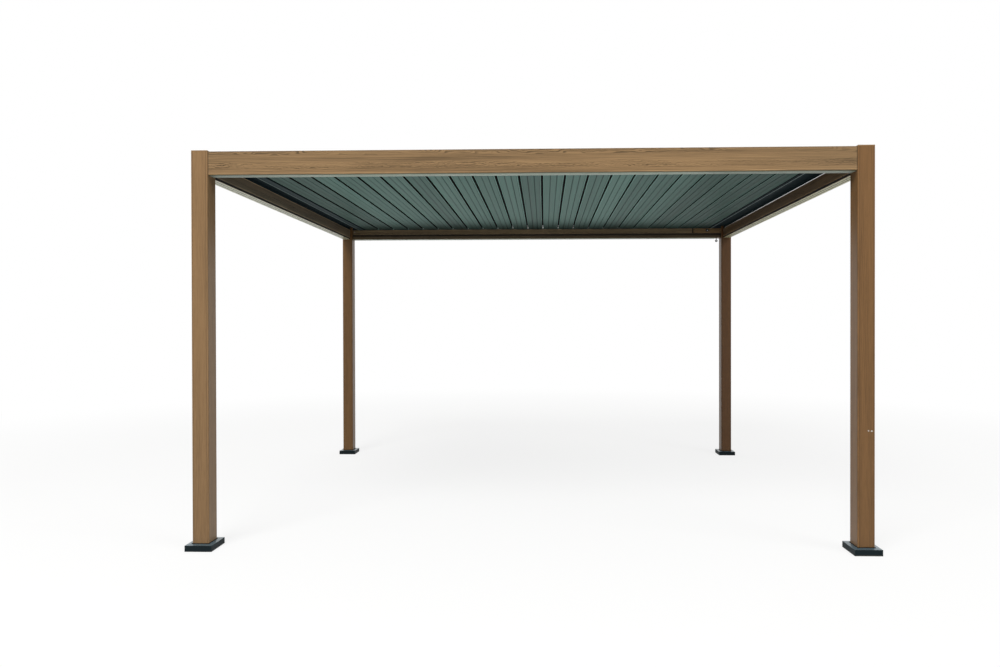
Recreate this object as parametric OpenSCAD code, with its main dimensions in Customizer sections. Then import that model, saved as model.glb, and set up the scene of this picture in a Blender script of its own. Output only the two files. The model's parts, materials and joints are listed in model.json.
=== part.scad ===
// Wood-grain metal gazebo with a louvred roof.
// Four square posts carry a ring of gutter beams. Between the beams a row of
// hollow blades turns on end pins, all linked to one crank-driven gearbox.
// Millimetres, +Z up, front towards -Y, origin at the centre of the footprint.

/* [Frame] */
// Overall width over the post faces
frame_w = 4000; // [3600:10:4400]
// Overall depth over the post faces
frame_d = 3000; // [2600:10:3600]
// Overall height to the top of the post caps
frame_h = 2368; // [2100:1:2700]

/* [Posts] */
// Side of the square post tube
post_side = 100; // [90:1:120]
// Wall of the post tube
post_wall = 2.5; // [1.5:0.1:5]
// Inner corner radius of the post tube
post_inner_r = 5.5; // [1:0.5:12]
// Thickness of the cap on a post
cap_t = 6; // [4:0.5:12]
// Bevel round the top of a post cap
cap_bevel = 2; // [0.5:0.5:3]

/* [Feet] */
// Thickness of the foot plate welded under a post
plate_t = 6; // [4:0.5:12]
// Distance between anchor holes, both ways
anchor_spacing = 122; // [118:1:128]
// Radius of an anchor hole
anchor_r = 5.5; // [4:0.5:7]
// Side of the square base cover
cover_side = 160; // [155:1:200]
// Height of the base cover
cover_h = 39; // [30:1:60]
// Wall of the base cover
cover_wall = 2.5; // [1.5:0.1:4]
// Rise of the base cover's top from its edges to the post
cover_rise = 3; // [1:0.5:8]
// Gap between the foot plate and the inside of its cover
plate_gap = 2; // [1:0.5:4]

/* [Beams] */
// Width of a gutter beam
beam_w = 75; // [70:1:85]
// Height of a gutter beam
beam_h = 138; // [120:1:180]
// Wall of a gutter beam
beam_wall = 2.5; // [1.5:0.1:4]
// Outer corner radius of a gutter beam
beam_round = 3; // [1:0.5:6]
// Setback of the beams behind the post faces
beam_inset = 5; // [0:0.5:12]
// Height of the inner gutter wall
gutter_h = 96; // [85:1:110]
// Width of the flange on the inner gutter wall
gutter_flange = 9; // [8.5:0.5:12]
// Width of the flange on the outer wall's top edge
top_flange = 12; // [8:0.5:16]
// Height of the screen groove in the inner wall
groove_h = 18; // [8:0.5:24]
// Depth of the screen groove
groove_d = 7; // [4:0.5:9]
// Rise of the groove above the front and back beams' undersides
end_groove_rise = 29; // [20:0.5:35]
// Height of the narrow groove in the side beams
side_groove_h = 9; // [5:0.5:14]
// Rise of the groove above the side beams' undersides
side_groove_rise = 5; // [4:0.5:20]

/* [Roof edges] */
// Distance from a side beam to the first seam between blades
edge_w = 149; // [130:1:180]
// Width of the edge strip's low flange beside the blades
edge_flange = 45; // [30:1:60]
// Height of the edge strip's raised part above its low flange
edge_rise = 22; // [12:0.5:26]
// Sheet thickness of the edge strips
edge_t = 2; // [1.5:0.1:3]
// Clearance of the edge strips round the posts
edge_gap = 1; // [0.5:0.5:4]

/* [Blades] */
// Open seam between two closed blades
seam_gap = 12; // [10:0.5:16]
// Wall of a blade
blade_wall = 1.6; // [1.2:0.1:2.5]
// Depth of a blade's underside below its pivot
blade_drop = 16; // [14:0.5:20]
// Height of a blade's cover lip above its pivot
blade_rise = 14; // [12:0.5:18]
// Height of the rain trough's edge above the blade's underside
trough_h = 18; // [12:0.5:20]
// Width of the rain trough
trough_w = 19; // [16:0.5:26]
// Reach of the cover lip past the next blade's trough edge
lip_over = 9; // [7:0.5:10]
// Depth of the drip edge on the cover lip
drip_d = 6; // [4:0.5:7]
// Length cut from each end of the cover lip
lip_notch = 55; // [20:1:80]
// Width of a shadow line along the underside
line_w = 4; // [1:0.5:6]
// Depth of a shadow line
line_d = 0.8; // [0.4:0.1:1]
// Places of the shadow lines from the blade's middle
line_u = [-21.5, 21.5, 59]; // [-60:0.5:60]
// Width of the eased edge beside the trough
ease_w = 7; // [3:0.5:10]
// Height of the eased edge
ease_h = 3; // [1:0.5:5]
// Thickness of the closing wall at a blade's ends
end_cap_t = 4; // [3:0.5:8]
// Gap between a blade's end and its pivot rail
end_gap = 8; // [7:0.5:14]

/* [Mechanism] */
// Height of the pivots above the inner gutter wall
pivot_rise = 18; // [17:0.5:24]
// Radius of a blade's pivot pin
pin_r = 6; // [4:0.5:7]
// Running clearance round every pin
pin_play = 0.05; // [0.02:0.01:0.1]
// Length of a pin's free end past what it runs in
pin_end = 4; // [2:0.5:5]
// Thickness of the pivot rails
rail_t = 8; // [5:0.5:8]
// Height of the pivot rails above the pivots
rail_over = 14; // [10:0.5:18]
// Length of a blade's lever between its pins
lever_len = 40; // [34:1:44]
// Lean of the levers with the blades closed
lever_lean = 45; // [40:1:50]
// Width of a lever's arm
lever_w = 12; // [8:0.5:14]
// Thickness of a lever
lever_t = 5; // [4:0.5:6]
// Radius of a lever's pin
link_pin_r = 4; // [3:0.5:5]
// Side gap between lever, rail and link bar
link_gap = 6; // [5:0.5:7]
// Height of the link bar
link_h = 18; // [16:1:22]
// Thickness of the link bar
link_t = 5; // [4:0.5:6]
// Distance from the back right post to the gearbox shaft
gear_inset = 52; // [45:1:70]
// Radius of the gearbox drum
gear_r = 20; // [17:0.5:24]
// Depth of the gearbox drum
gear_d = 22; // [18:0.5:23]
// Length of the gearbox foot on the gutter floor
gear_foot = 40; // [30:1:60]
// Thickness of the gearbox foot
gear_foot_t = 4; // [3:0.5:8]
// Distance from the gearbox shaft to the crank shaft
worm_offset = 19; // [16:0.5:22]
// Radius of the crank shaft's sleeve
sleeve_r = 11; // [9:0.5:13]
// Radius of the crank shaft
crank_r = 5; // [4:0.5:6]
// Mean radius of the crank eye's ring
eye_ring_r = 8.5; // [6:0.5:12]
// Radius of the crank eye's bar
eye_bar_r = 4.5; // [2.5:0.5:5]
// Radius of the crank eye's neck
eye_neck_r = 3; // [2:0.5:4]
// Drop of the crank eye's ring below the beam
eye_drop = 12; // [4:0.5:20]
// Length of the access cover over the gearbox
access_w = 280; // [200:1:400]
// Thickness of the access cover
access_t = 2; // [1:0.1:2.5]

/* [Hidden] */
$fn = 48;
wood = "#8b6b4b";
slate = "#2f3b3f";
blade_grey = "#586a64";
zinc = "#8f9294";
black = "#1c1c1c";
eps = 0.01;

// Posts and feet
post_x = (frame_w - post_side) / 2;
post_y = (frame_d - post_side) / 2;
post_top = frame_h - cap_t;
post_round = post_inner_r + post_wall;
plate_side = cover_side - 2 * (cover_wall + plate_gap);

// Beams
beam_top = frame_h - cap_t;
beam_z = beam_top - beam_h;
end_beam_len = frame_w - 2 * post_side;
side_beam_len = frame_d - 2 * post_side;
beam_inner_x = frame_w / 2 - beam_inset - beam_w;
beam_inner_y = frame_d / 2 - beam_inset - beam_w;
gutter_top = beam_z + gutter_h;

// Blades
blade_count = 23;
field_w = 2 * (beam_inner_x - edge_w);
blade_pitch = field_w / blade_count;
blade_half = (blade_pitch - seam_gap) / 2;
blade_len = 2 * (beam_inner_y - end_gap);
pivot_z = gutter_top + pivot_rise;
lip_end = blade_half + seam_gap + lip_over;
chamber_left = -blade_half + blade_wall + trough_w;
crest_u = chamber_left + 2 * trough_w;
shoulder_w = -blade_drop + 0.8 * trough_h;
edge_bevel = blade_wall * 0.75;
weep_w = 8;
weep_h = 4;
seam_x = field_w / 2;

// Mechanism, measured from the middle towards the back
rail_y = beam_inner_y;
lever_y = rail_y + rail_t + link_gap;
link_y = lever_y + lever_t + link_gap;
link_end_y = link_y + link_t + pin_end;
lever_foot = [-lever_len * sin(lever_lean), -lever_len * cos(lever_lean)];
lever_boss_r = pin_r + 5;
lever_foot_r = link_pin_r + 4;
gear_x = frame_w / 2 - post_side - gear_inset;
gear_back_y = frame_d / 2 - beam_inset - top_flange;
gear_y = gear_back_y - gear_d;
gear_bore_d = gear_d / 2;
gutter_floor_z = beam_z + beam_wall;
crank_x = gear_x + worm_offset;
crank_y = gear_back_y - gear_d / 2;
crank_depth = 30;
eye_z = beam_z - eye_drop - eye_ring_r - eye_bar_r;
access_low = beam_z + end_groove_rise + groove_h + 2;

// X centre of blade i, counted from the left
function blade_x(i) = (i - (blade_count + 1) / 2) * blade_pitch;

// Rectangle of a by b with corners of radius r, centred
module rounded_rect(a, b, r) {
    square([a, b - 2 * r], center = true);
    square([a - 2 * r, b], center = true);
    for (sx = [-1, 1], sy = [-1, 1])
        translate([sx * (a / 2 - r), sy * (b / 2 - r)])
            circle(r);
}

// Extrudes a section drawn in X and Z along Y, centred
module along_y(length) {
    rotate([90, 0, 0])
        linear_extrude(length, center = true)
            children();
}

// Extrudes a section drawn in Y and Z along X, centred
module along_x(length) {
    rotate([90, 0, 90])
        linear_extrude(length, center = true)
            children();
}

// Cylinder along +Y, starting at the origin
module rod_y(r, length) {
    rotate([-90, 0, 0])
        cylinder(r = r, h = length);
}

// Square block whose top slopes up from its four edges
module sloped_block(side, height, inset, rise) {
    outline = [
        [-side / 2, 0], [side / 2, 0], [side / 2, height - rise],
        [side / 2 - inset, height], [-side / 2 + inset, height], [-side / 2, height - rise]
    ];
    intersection() {
        along_x(side) polygon(outline);
        along_y(side) polygon(outline);
    }
}

// Repeats a foot or cap at the four posts
module at_posts() {
    for (sx = [-1, 1], sy = [-1, 1])
        translate([sx * post_x, sy * post_y, 0])
            children();
}

// Hollow square post from its foot plate up to its cap
module post_tube() {
    translate([0, 0, plate_t])
        linear_extrude(post_top - plate_t)
            difference() {
                rounded_rect(post_side, post_side, post_round);
                rounded_rect(post_side - 2 * post_wall, post_side - 2 * post_wall, post_inner_r);
            }
}

module post_front_left() {
    color(wood) translate([-post_x, -post_y, 0]) post_tube();
}

module post_front_right() {
    color(wood) translate([post_x, -post_y, 0]) post_tube();
}

module post_back_left() {
    color(wood) translate([-post_x, post_y, 0]) post_tube();
}

module post_back_right() {
    color(wood) translate([post_x, post_y, 0]) post_tube();
}

module post_caps() {
    color(wood)
        at_posts()
            translate([0, 0, post_top])
                intersection() {
                    sloped_block(post_side, cap_t, cap_bevel, cap_bevel);
                    linear_extrude(cap_t) rounded_rect(post_side, post_side, post_round);
                }
}

// Square shell that slides down the post over the foot plate
module base_covers() {
    inside = cover_side - 2 * cover_wall;
    inset = (cover_side - post_side) / 2;
    color(slate)
        at_posts()
            difference() {
                sloped_block(cover_side, cover_h, inset, cover_rise);
                translate([0, 0, -cover_wall])
                    sloped_block(inside, cover_h, inset, cover_rise);
                linear_extrude(3 * cover_h, center = true)
                    rounded_rect(post_side + 2 * eps, post_side + 2 * eps, post_round);
            }
}

module foot_plates() {
    color(zinc)
        at_posts()
            difference() {
                linear_extrude(plate_t) square(plate_side, center = true);
                for (sx = [-1, 1], sy = [-1, 1])
                    translate([sx * anchor_spacing / 2, sy * anchor_spacing / 2, -eps])
                        cylinder(r = anchor_r, h = plate_t + 2 * eps);
            }
}

// Gutter beam section: outer face at x = 0, underside at y = 0
module beam_section(rise, slot_h) {
    intersection() {
        translate([beam_w / 2, beam_h / 2])
            rounded_rect(beam_w, beam_h, beam_round);
        beam_walls(rise, slot_h);
    }
}

// Walls of the gutter beam with its screen groove
module beam_walls(rise, slot_h) {
    difference() {
        union() {
            square([beam_wall, beam_h]);
            square([beam_w, beam_wall]);
            translate([beam_w - beam_wall, 0])
                square([beam_wall, gutter_h]);
            translate([beam_w - gutter_flange, gutter_h - beam_wall])
                square([gutter_flange, beam_wall]);
            translate([0, beam_h - beam_wall])
                square([top_flange, beam_wall]);
            translate([beam_w - groove_d - beam_wall, rise - beam_wall])
                square([groove_d + beam_wall, slot_h + 2 * beam_wall]);
        }
        translate([beam_w - groove_d, rise])
            square([groove_d + 1, slot_h]);
    }
}

// Beam between two front posts, its outer face towards -Y
module end_beam() {
    translate([0, -frame_d / 2 + beam_inset, beam_z])
        along_x(end_beam_len)
            beam_section(end_groove_rise, groove_h);
}

// Beam between the left posts, its outer face towards -X
module side_beam() {
    translate([-frame_w / 2 + beam_inset, 0, beam_z])
        along_y(side_beam_len)
            beam_section(side_groove_rise, side_groove_h);
}

module front_beam() {
    color(wood) end_beam();
}

// The back beam's underside lets the crank shaft through
module back_beam() {
    color(wood)
        difference() {
            rotate([0, 0, 180]) end_beam();
            translate([crank_x, crank_y, beam_z - eps])
                cylinder(r = crank_r + pin_play, h = beam_wall + 2 * eps);
        }
}

module left_beam() {
    color(wood) side_beam();
}

module right_beam() {
    color(wood) mirror([1, 0, 0]) side_beam();
}

// Rail on the back gutter's flange, bored for every blade's pin
module pivot_rail() {
    rail_h = pivot_rise + rail_over;
    difference() {
        translate([-end_beam_len / 2, rail_y, gutter_top])
            cube([end_beam_len, rail_t, rail_h]);
        for (i = [1 : blade_count])
            translate([blade_x(i), rail_y - eps, pivot_z])
                rod_y(pin_r + pin_play, rail_t + 2 * eps);
    }
}

module front_pivot_rail() {
    color(slate) mirror([0, 1, 0]) pivot_rail();
}

module back_pivot_rail() {
    color(slate) pivot_rail();
}

// Edge strip section, x outwards from the seam's side, y up from the underside
module edge_section() {
    flange_x = edge_flange;
    seat_x = edge_w - seam_gap / 2;
    seat_drop = pivot_rise - blade_drop;
    square([flange_x, edge_t]);
    translate([flange_x - edge_t, 0])
        square([edge_t, edge_rise]);
    translate([flange_x - edge_t, edge_rise - edge_t])
        square([seat_x + edge_t - flange_x + edge_t, edge_t]);
    translate([seat_x, -seat_drop])
        square([edge_t, edge_rise + seat_drop]);
}

// Edge strip on the right, cut round the posts
module edge_strip() {
    difference() {
        translate([seam_x + seam_gap / 2, 0, pivot_z - blade_drop])
            along_y(2 * beam_inner_y)
                union() {
                    edge_section();
                    children();
                }
        at_posts()
            cube([post_side + 2 * edge_gap, post_side + 2 * edge_gap, 3 * frame_h], center = true);
    }
}

// The left strip has a cover lip like a blade's
module left_edge_strip() {
    lip_w = blade_drop + blade_rise;
    lip_x = -seam_gap - lip_over;
    color(slate)
        mirror([1, 0, 0])
            edge_strip() {
                square([edge_t, lip_w]);
                translate([lip_x, lip_w - edge_t])
                    square([edge_t - lip_x, edge_t]);
                translate([lip_x, lip_w - drip_d])
                    square([edge_t, drip_d]);
            }
}

// The right strip has a trough edge like a blade's
module right_edge_strip() {
    color(slate)
        edge_strip()
            square([edge_t, trough_h]);
}

// Outline of a blade about its pivot: trough on the left, cover lip on the right
module blade_outline() {
    low = -blade_drop;
    lip_low = blade_rise - blade_wall;
    difference() {
        polygon([
            [-blade_half, low + ease_h], [-blade_half + ease_w, low],
            [blade_half - edge_bevel, low], [blade_half, low + edge_bevel],
            [blade_half, lip_low], [lip_end - blade_wall, lip_low],
            [lip_end - blade_wall, blade_rise - drip_d], [lip_end, blade_rise - drip_d],
            [lip_end, blade_rise], [crest_u, blade_rise],
            [chamber_left, shoulder_w], [chamber_left, low + blade_wall],
            [-blade_half + blade_wall + ease_w, low + blade_wall],
            [-blade_half + blade_wall, low + blade_wall + ease_h],
            [-blade_half + blade_wall, low + trough_h], [-blade_half, low + trough_h]
        ]);
        for (u = line_u)
            translate([u, low])
                square([line_w, 2 * line_d], center = true);
    }
}

// Hollow inside of a blade
module blade_chamber() {
    floor_w = -blade_drop + blade_wall;
    left = chamber_left + blade_wall;
    right = blade_half - blade_wall;
    top = blade_rise - blade_wall;
    polygon([
        [left, floor_w], [right, floor_w], [right, top],
        [crest_u + blade_wall / 2, top], [left, shoulder_w - blade_wall / 2]
    ]);
}

// Lever outline: pivot boss at the origin, pin boss at its foot
module lever_outline() {
    circle(lever_boss_r);
    translate(lever_foot)
        circle(lever_foot_r);
    rotate(-lever_lean)
        translate([-lever_w / 2, -lever_len])
            square([lever_w, lever_len]);
}

// Lever in the back gutter with the pin that carries the link bar
module lever() {
    translate([0, lever_y + lever_t, 0])
        rotate([90, 0, 0])
            linear_extrude(lever_t)
                lever_outline();
    translate([lever_foot.x, lever_y, lever_foot.y])
        rod_y(link_pin_r, link_end_y - lever_y);
}

// Blade with closed ends, weep slots, pivot pins and its lever
module blade(i) {
    pin_start = blade_len / 2 - end_cap_t / 2;
    front_pin = end_cap_t / 2 + end_gap + rail_t + pin_end;
    color(blade_grey)
        translate([blade_x(i), 0, pivot_z]) {
            difference() {
                along_y(blade_len) blade_outline();
                along_y(blade_len - 2 * end_cap_t) blade_chamber();
                for (s = [-1, 1]) {
                    translate([lip_end, s * blade_len / 2, blade_rise])
                        cube([2 * (lip_end - blade_half), 2 * lip_notch, 4 * drip_d], center = true);
                    translate([
                        blade_half - 2 * weep_w,
                        s * (blade_len - end_cap_t) / 2,
                        -blade_drop + blade_wall + weep_h / 2
                    ])
                        cube([weep_w, 2 * end_cap_t, weep_h], center = true);
                }
            }
            mirror([0, 1, 0])
                translate([0, pin_start, 0])
                    rod_y(pin_r, front_pin);
            translate([0, pin_start, 0])
                rod_y(pin_r, lever_y + lever_t - pin_start);
            lever();
        }
}

module blade_01() { blade(1); }
module blade_02() { blade(2); }
module blade_03() { blade(3); }
module blade_04() { blade(4); }
module blade_05() { blade(5); }
module blade_06() { blade(6); }
module blade_07() { blade(7); }
module blade_08() { blade(8); }
module blade_09() { blade(9); }
module blade_10() { blade(10); }
module blade_11() { blade(11); }
module blade_12() { blade(12); }
module blade_13() { blade(13); }
module blade_14() { blade(14); }
module blade_15() { blade(15); }
module blade_16() { blade(16); }
module blade_17() { blade(17); }
module blade_18() { blade(18); }
module blade_19() { blade(19); }
module blade_20() { blade(20); }
module blade_21() { blade(21); }
module blade_22() { blade(22); }
module blade_23() { blade(23); }

// Flat bar on all the lever pins, from the first blade to the drive arm
module link_bar() {
    x0 = blade_x(1) + lever_foot.x - link_h;
    x1 = gear_x + lever_foot.x + link_h;
    z = pivot_z + lever_foot.y;
    pins = concat([for (i = [1 : blade_count]) blade_x(i)], [gear_x]);
    color(zinc)
        difference() {
            translate([x0, link_y, z - link_h / 2])
                cube([x1 - x0, link_t, link_h]);
            for (x = pins)
                translate([x + lever_foot.x, link_y - eps, z])
                    rod_y(link_pin_r + pin_play, link_t + 2 * eps);
        }
}

// Gearbox arm that pushes the link bar
module drive_arm() {
    color(zinc)
        translate([gear_x, 0, pivot_z]) {
            lever();
            translate([0, lever_y, 0])
                rod_y(pin_r, gear_y + gear_bore_d - lever_y);
        }
}

// Worm gearbox with its crank sleeve and foot on the back gutter's floor
module gearbox() {
    sleeve_top = pivot_z + gear_r / 2;
    color(black)
        difference() {
            union() {
                translate([gear_x, gear_y, pivot_z])
                    rod_y(gear_r, gear_d);
                translate([crank_x, crank_y, gutter_floor_z])
                    cylinder(r = sleeve_r, h = sleeve_top - gutter_floor_z);
                translate([crank_x - gear_foot / 2, gear_y, gutter_floor_z])
                    cube([gear_foot, gear_d, gear_foot_t]);
            }
            translate([gear_x, gear_y - eps, pivot_z])
                rod_y(pin_r + pin_play, gear_bore_d + pin_end);
            translate([crank_x, crank_y, gutter_floor_z - eps])
                cylinder(r = crank_r + pin_play, h = crank_depth + pin_end);
        }
}

// Plate over the gearbox's access on the back beam's inner wall
module access_cover() {
    color(wood)
        translate([end_beam_len / 2 - access_w, beam_inner_y - access_t, access_low])
            cube([access_w, access_t, gutter_top - access_low]);
}

// Crank shaft with the eye that takes the crank's hook
module crank_eye() {
    neck_low = eye_z + eye_ring_r;
    shaft_low = beam_z - 2;
    color(black)
        translate([crank_x, crank_y, 0]) {
            translate([0, 0, neck_low])
                cylinder(r = eye_neck_r, h = beam_z - neck_low);
            translate([0, 0, shaft_low])
                cylinder(r = crank_r, h = gutter_floor_z + crank_depth - shaft_low);
            translate([0, 0, eye_z])
                rotate([90, 0, 0])
                    rotate_extrude()
                        translate([eye_ring_r, 0])
                            circle(eye_bar_r);
        }
}

post_front_left();
post_front_right();
post_back_left();
post_back_right();
post_caps();
base_covers();
foot_plates();
front_beam();
back_beam();
left_beam();
right_beam();
front_pivot_rail();
back_pivot_rail();
left_edge_strip();
right_edge_strip();
blade_01();
blade_02();
blade_03();
blade_04();
blade_05();
blade_06();
blade_07();
blade_08();
blade_09();
blade_10();
blade_11();
blade_12();
blade_13();
blade_14();
blade_15();
blade_16();
blade_17();
blade_18();
blade_19();
blade_20();
blade_21();
blade_22();
blade_23();
link_bar();
drive_arm();
gearbox();
access_cover();
crank_eye();
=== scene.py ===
"""Finishes, fine fittings, light and view of a wood-grain metal gazebo with a louvred roof."""

import json
import logging
import math
from dataclasses import dataclass
from enum import Enum
from typing import Any, Mapping, Optional, Sequence, Union

import bmesh
import bpy
from mathutils import Matrix, Vector

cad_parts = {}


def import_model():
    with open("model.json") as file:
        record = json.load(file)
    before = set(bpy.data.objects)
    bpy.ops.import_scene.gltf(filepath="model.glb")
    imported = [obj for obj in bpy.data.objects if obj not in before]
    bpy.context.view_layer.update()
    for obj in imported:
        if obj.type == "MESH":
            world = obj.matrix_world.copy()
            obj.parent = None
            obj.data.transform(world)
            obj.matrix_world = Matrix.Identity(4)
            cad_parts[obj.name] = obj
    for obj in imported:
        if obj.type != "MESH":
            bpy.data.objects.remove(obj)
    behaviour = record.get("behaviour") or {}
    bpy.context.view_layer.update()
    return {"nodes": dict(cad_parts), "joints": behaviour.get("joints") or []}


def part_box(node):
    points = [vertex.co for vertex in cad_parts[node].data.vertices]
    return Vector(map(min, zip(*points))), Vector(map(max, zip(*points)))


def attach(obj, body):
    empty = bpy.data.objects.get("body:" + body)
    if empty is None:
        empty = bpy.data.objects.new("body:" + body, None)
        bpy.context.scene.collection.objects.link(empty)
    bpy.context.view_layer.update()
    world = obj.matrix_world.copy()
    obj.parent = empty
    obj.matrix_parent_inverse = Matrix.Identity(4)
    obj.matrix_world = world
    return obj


LOG = logging.getLogger("gazebo")
MM = 0.001
SHARP_EDGE = math.radians(32)
FIXED_BODY = "frame"
POSTS = ("front_left", "front_right", "back_left", "back_right")
RAILS = ("front_pivot_rail", "back_pivot_rail")
WHITE = (1.0, 1.0, 1.0, 1.0)

Colour = tuple[float, float, float, float]
Pair = tuple[float, float]
Triple = tuple[float, float, float]
Number = Union[float, "Wire"]


def paint(red: int, green: int, blue: int) -> Colour:
    """Turns an 8-bit display colour into the linear one that shaders take.

    Args:
        red: Red level, 0 to 255.
        green: Green level, 0 to 255.
        blue: Blue level, 0 to 255.

    Returns:
        The linear colour with full alpha.
    """
    shares = [level / 255 for level in (red, green, blue)]
    linear = [s / 12.92 if s <= 0.04045 else ((s + 0.055) / 1.055) ** 2.4 for s in shares]
    return (linear[0], linear[1], linear[2], 1.0)


def scaled(colour: Colour, factor: float) -> Colour:
    """Makes a linear colour lighter or darker by a factor."""
    return (colour[0] * factor, colour[1] * factor, colour[2] * factor, colour[3])


class Wire:
    """A shader socket that takes part in Python expressions."""

    def __init__(self, graph: "Graph", socket: bpy.types.NodeSocket) -> None:
        """Keeps the graph that new nodes join and the socket that they read."""
        self.graph = graph
        self.socket = socket

    def __add__(self, other: Number) -> "Wire":
        """Adds a number or a wire."""
        return self.graph.math("ADD", self, other)

    def __radd__(self, other: Number) -> "Wire":
        """Adds this wire to a number."""
        return self.graph.math("ADD", other, self)

    def __sub__(self, other: Number) -> "Wire":
        """Takes a number or a wire away."""
        return self.graph.math("SUBTRACT", self, other)

    def __rsub__(self, other: Number) -> "Wire":
        """Takes this wire from a number."""
        return self.graph.math("SUBTRACT", other, self)

    def __mul__(self, other: Number) -> "Wire":
        """Multiplies by a number or a wire."""
        return self.graph.math("MULTIPLY", self, other)

    def __rmul__(self, other: Number) -> "Wire":
        """Multiplies a number by this wire."""
        return self.graph.math("MULTIPLY", other, self)

    def __truediv__(self, other: Number) -> "Wire":
        """Divides by a number or a wire."""
        return self.graph.math("DIVIDE", self, other)

    def __rtruediv__(self, other: Number) -> "Wire":
        """Divides a number by this wire."""
        return self.graph.math("DIVIDE", other, self)

    def most(self, other: Number) -> "Wire":
        """The larger of this and another value."""
        return self.graph.math("MAXIMUM", self, other)

    def least(self, other: Number) -> "Wire":
        """The smaller of this and another value."""
        return self.graph.math("MINIMUM", self, other)

    def root(self) -> "Wire":
        """Square root."""
        return self.graph.math("SQRT", self)

    def size(self) -> "Wire":
        """Value without its sign."""
        return self.graph.math("ABSOLUTE", self)

    def fraction(self) -> "Wire":
        """Part after the whole number."""
        return self.graph.math("FRACT", self)

    def rise(self, low: float, high: float) -> "Wire":
        """Goes smoothly from 0 at the low value to 1 at the high one."""
        ends = {"Value": self, "From Min": low, "From Max": high}
        return self.graph.read("MapRange", {"interpolation_type": "SMOOTHSTEP"}, ends)

    def fall(self, low: float, high: float) -> "Wire":
        """Goes smoothly from 1 at the low value to 0 at the high one."""
        return 1 - self.rise(low, high)

    def band(self, start: float, low: float, high: float, end: float) -> "Wire":
        """1 from low to high, fading to 0 at start and at end."""
        return self.rise(start, low) * self.fall(high, end)


class Graph:
    """Adds nodes to one material or world."""

    def __init__(self, owner: Union[bpy.types.Material, bpy.types.World]) -> None:
        """Empties the owner's node tree and keeps both."""
        owner.use_nodes = True
        self.owner = owner
        self.tree = owner.node_tree
        self.tree.nodes.clear()

    @classmethod
    def of_material(cls, name: str) -> "Graph":
        """Starts the graph of a new material."""
        return cls(bpy.data.materials.new(name))

    def node(
        self, kind: str, settings: Mapping[str, Any], sockets: Mapping[Union[str, int], Any]
    ) -> bpy.types.ShaderNode:
        """Adds one node.

        Args:
            kind: Node type without its common prefix.
            settings: Node properties, which are set first; stops fills a colour ramp.
            sockets: Numbers, colours or wires for the inputs, by name or place.

        Returns:
            The new node.
        """
        made = self.tree.nodes.new("ShaderNode" + kind)
        for name, value in settings.items():
            if name == "stops":
                self._fill_ramp(made.color_ramp, value)
            else:
                setattr(made, name, value)
        for name, value in sockets.items():
            if isinstance(value, Wire):
                self.tree.links.new(value.socket, made.inputs[name])
            else:
                made.inputs[name].default_value = value
        return made

    @staticmethod
    def _fill_ramp(ramp: bpy.types.ColorRamp, stops: Sequence[tuple[float, Colour]]) -> None:
        """Fills a colour ramp.

        Args:
            ramp: The ramp of a new node.
            stops: Position and colour of each stop.
        """
        while len(ramp.elements) < len(stops):
            ramp.elements.new(0.5)
        for element, (position, colour) in zip(ramp.elements, stops):
            element.position = position
            element.color = colour

    def read(
        self,
        kind: str,
        settings: Mapping[str, Any],
        sockets: Mapping[Union[str, int], Any],
        output: Union[str, int] = 0,
    ) -> Wire:
        """Adds a node and takes one of its outputs, by name or place."""
        return Wire(self, self.node(kind, settings, sockets).outputs[output])

    def math(self, operation: str, *terms: Number) -> Wire:
        """Adds a Math node on one or two values."""
        return self.read("Math", {"operation": operation}, dict(enumerate(terms)))

    def mix(self, share: Number, low: Union[Colour, Wire], high: Union[Colour, Wire]) -> Wire:
        """Blends two colours; share 0 gives the first one and 1 the second."""
        return self.read("Mix", {"data_type": "RGBA"}, {0: share, 6: low, 7: high}, 2)

    def tint(self, colour: Union[Colour, Wire], factor: Number) -> Wire:
        """Multiplies a colour by a value that varies over the surface."""
        base = colour if isinstance(colour, Wire) else colour[:3]
        return self.read("VectorMath", {"operation": "SCALE"}, {0: base, "Scale": factor})

    def vector(self, x: Number, y: Number, z: Number) -> Wire:
        """Joins three values into a vector."""
        return self.read("CombineXYZ", {}, {0: x, 1: y, 2: z})

    def places(self) -> tuple[Wire, Wire, Wire]:
        """Splits the surface point.

        Returns:
            X, Y and Z in the piece's own frame, in metres.
        """
        point = self.read("TexCoord", {}, {}, "Object")
        parts = self.node("SeparateXYZ", {}, {0: point}).outputs
        return Wire(self, parts[0]), Wire(self, parts[1]), Wire(self, parts[2])

    def noise(self, x: Number, y: Number, z: Number, detail: float = 2.0, rough: float = 0.5) -> Wire:
        """Cloudy pattern around 0.5 with one cell a unit, and with finer layers of a set strength."""
        sockets = {"Vector": self.vector(x, y, z), "Scale": 1.0, "Detail": detail, "Roughness": rough}
        return self.read("TexNoise", {}, sockets)

    def cells(self, x: Number, y: Number) -> Wire:
        """Flat pattern of cells with one cell a unit.

        Args:
            x: First coordinate, in cells.
            y: Second coordinate, in cells.

        Returns:
            A value from 0 to 1 that each cell has to itself.
        """
        settings = {"voronoi_dimensions": "2D", "feature": "F1"}
        sockets = {"Vector": self.vector(x, y, 0.0), "Scale": 1.0}
        return self.read("SeparateXYZ", {}, {0: self.read("TexVoronoi", settings, sockets, "Color")})

    def upward(self) -> Wire:
        """How far the surface faces up, from -1 to 1."""
        normal = self.read("NewGeometry", {}, {}, "Normal")
        return self.read("SeparateXYZ", {}, {0: normal}, 2)

    def bump(self, height: Wire, depth: float, strength: float) -> Wire:
        """Turns a height pattern into a normal; depth is in metres for a height of 1."""
        return self.read("Bump", {}, {"Height": height, "Distance": depth, "Strength": strength})

    def surface(self, sockets: Mapping[str, Any]) -> bpy.types.Material:
        """Ends a material with one principled surface.

        Args:
            sockets: Values or links of the surface's inputs.

        Returns:
            The finished material.
        """
        shader = self.read("BsdfPrincipled", {}, sockets)
        self.node("OutputMaterial", {}, {"Surface": shader})
        return self.owner


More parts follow.
